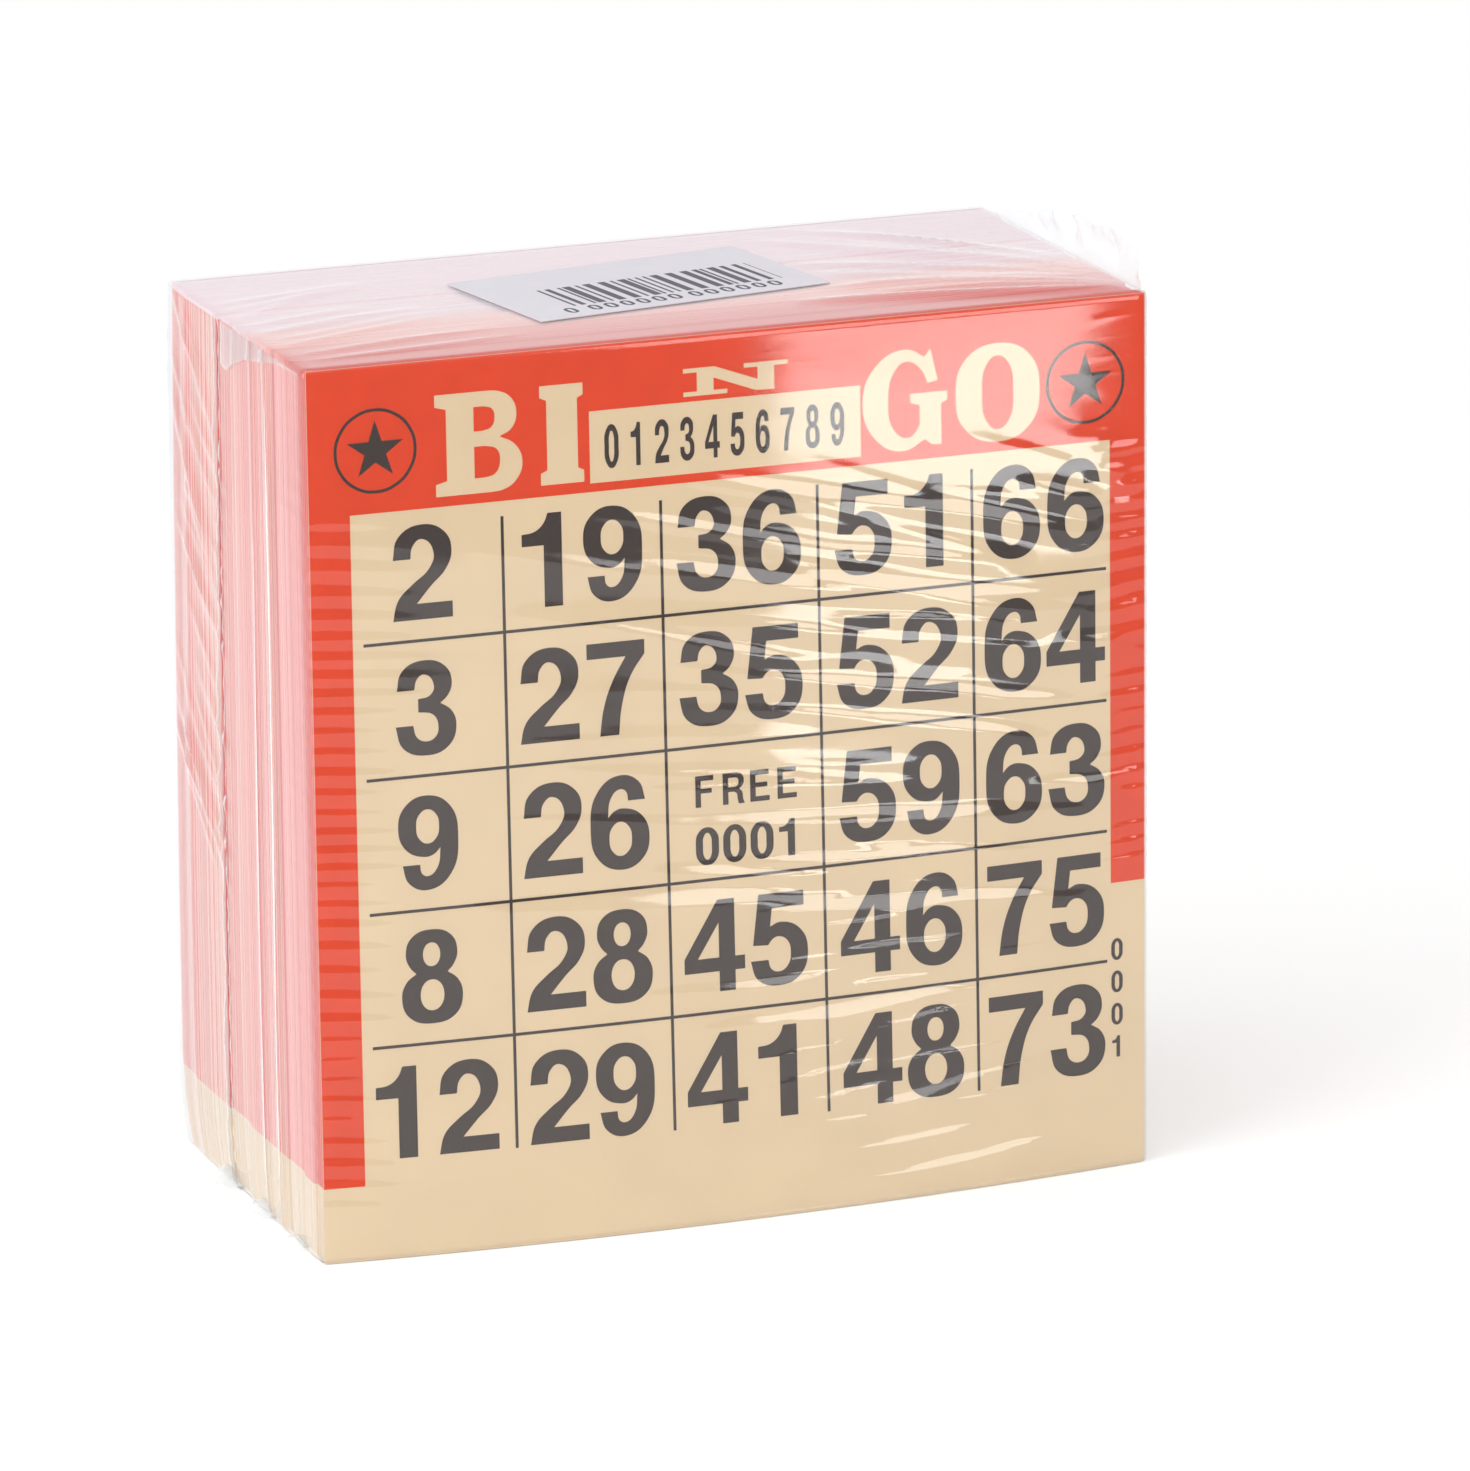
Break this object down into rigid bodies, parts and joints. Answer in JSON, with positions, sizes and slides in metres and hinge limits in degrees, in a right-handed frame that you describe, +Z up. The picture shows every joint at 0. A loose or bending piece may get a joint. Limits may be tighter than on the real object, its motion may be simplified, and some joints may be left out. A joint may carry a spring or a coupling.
{
  "type": "wrapped pack of bingo cards",
  "caption": "Standing pack of loose paper bingo cards in clear welded shrink film with a label on top; the film's front half folds back and the front card draws out upwards.",
  "frame": {"origin": "middle of the lower face, on the surface that the pack stands on", "axes": "+Z up, the printed face of the front card looks along -Y, +X to the right as seen from the front"},
  "size_m": [0.1062, 0.0571, 0.1091],
  "materials": {
    "card_paper": "uncoated newsprint, printed in red-orange and dark grey",
    "shrink_film": "clear glossy shrink film with fine wrinkles",
    "welded_film": "clear film, gathered and welded",
    "label_paper": "smooth pale grey label with a printed bar pattern"
  },
  "bodies": {
    "wrapped_stack": {"card_lift_1": "card_paper", "card_lift_2": "card_paper", "card_lift_3": "card_paper", "card_lift_4": "card_paper", "card_lift_5": "card_paper", "card_lift_6": "card_paper", "card_lift_7": "card_paper", "card_lift_8": "card_paper", "film_back_panel": "shrink_film", "film_bottom_front_panel": "shrink_film", "film_bottom_rear_panel": "shrink_film", "film_left_rear_panel": "shrink_film", "film_right_rear_panel": "shrink_film", "film_seal_left": "welded_film", "film_seal_right": "welded_film", "film_seal_bottom": "welded_film", "film_ear_bottom_left": "welded_film", "film_ear_bottom_right": "welded_film"},
    "film_hood": {"film_front_panel": "shrink_film", "film_top_panel": "shrink_film", "film_left_front_panel": "shrink_film", "film_right_front_panel": "shrink_film", "film_ear_top_right": "welded_film", "film_ear_top_left": "welded_film", "barcode_label": "label_paper"},
    "front_card": {"front_card": "card_paper"}
  },
  "joints": [
    {"name": "film_fold", "type": "hinge", "parent": "wrapped_stack", "child": "film_hood", "pos_m": [0, 0.02524, 0.10515], "axis": [-1, 0, 0], "range_deg": [0, 180]},
    {"name": "card_draw", "type": "slide", "parent": "wrapped_stack", "child": "front_card", "axis": [0, 0, 1], "range_m": [0, 0.063]}
  ],
  "couplings": [
    {"joint": "card_draw", "follows": "film_fold", "m_per_rad": 0.02}
  ]
}
